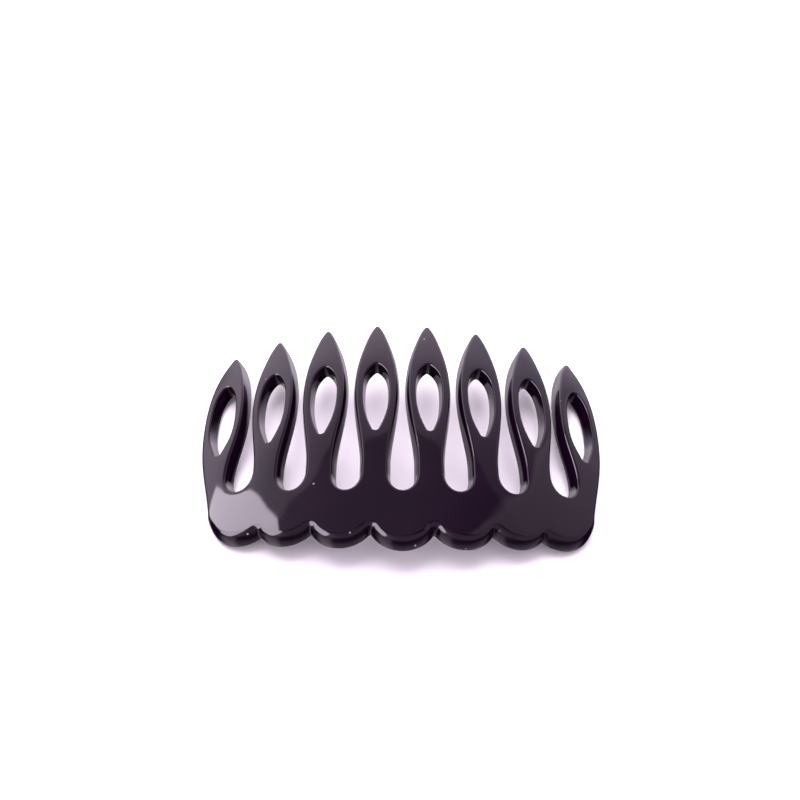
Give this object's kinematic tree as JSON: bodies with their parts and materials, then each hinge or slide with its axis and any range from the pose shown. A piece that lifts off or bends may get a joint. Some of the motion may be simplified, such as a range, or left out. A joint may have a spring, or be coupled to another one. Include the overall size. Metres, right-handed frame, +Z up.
{
  "type": "decorative side comb",
  "caption": "Curved glossy side comb for hair, with a scalloped spine and leaf-shaped teeth that each have an almond opening.",
  "frame": {"origin": "centre of the bounding box's base, on the surface that the comb lies on", "axes": "+X across the comb from tooth 1 to tooth 8, +Y from the scalloped spine towards the tips, +Z up through the crest of the arch, with the comb lying on its end lobes and outer tips"},
  "size_m": [0.0812, 0.0598, 0.0117],
  "materials": {
    "spine_plastic": "polished, very dark aubergine, almost black",
    "tooth_plastic": "polished, very dark aubergine, almost black; the same moulding as the spine"
  },
  "bodies": {
    "root": {"spine": "spine_plastic", "tooth_1": "tooth_plastic", "tooth_2": "tooth_plastic", "tooth_3": "tooth_plastic", "tooth_4": "tooth_plastic", "tooth_5": "tooth_plastic", "tooth_6": "tooth_plastic", "tooth_7": "tooth_plastic", "tooth_8": "tooth_plastic"}
  },
  "joints": []
}
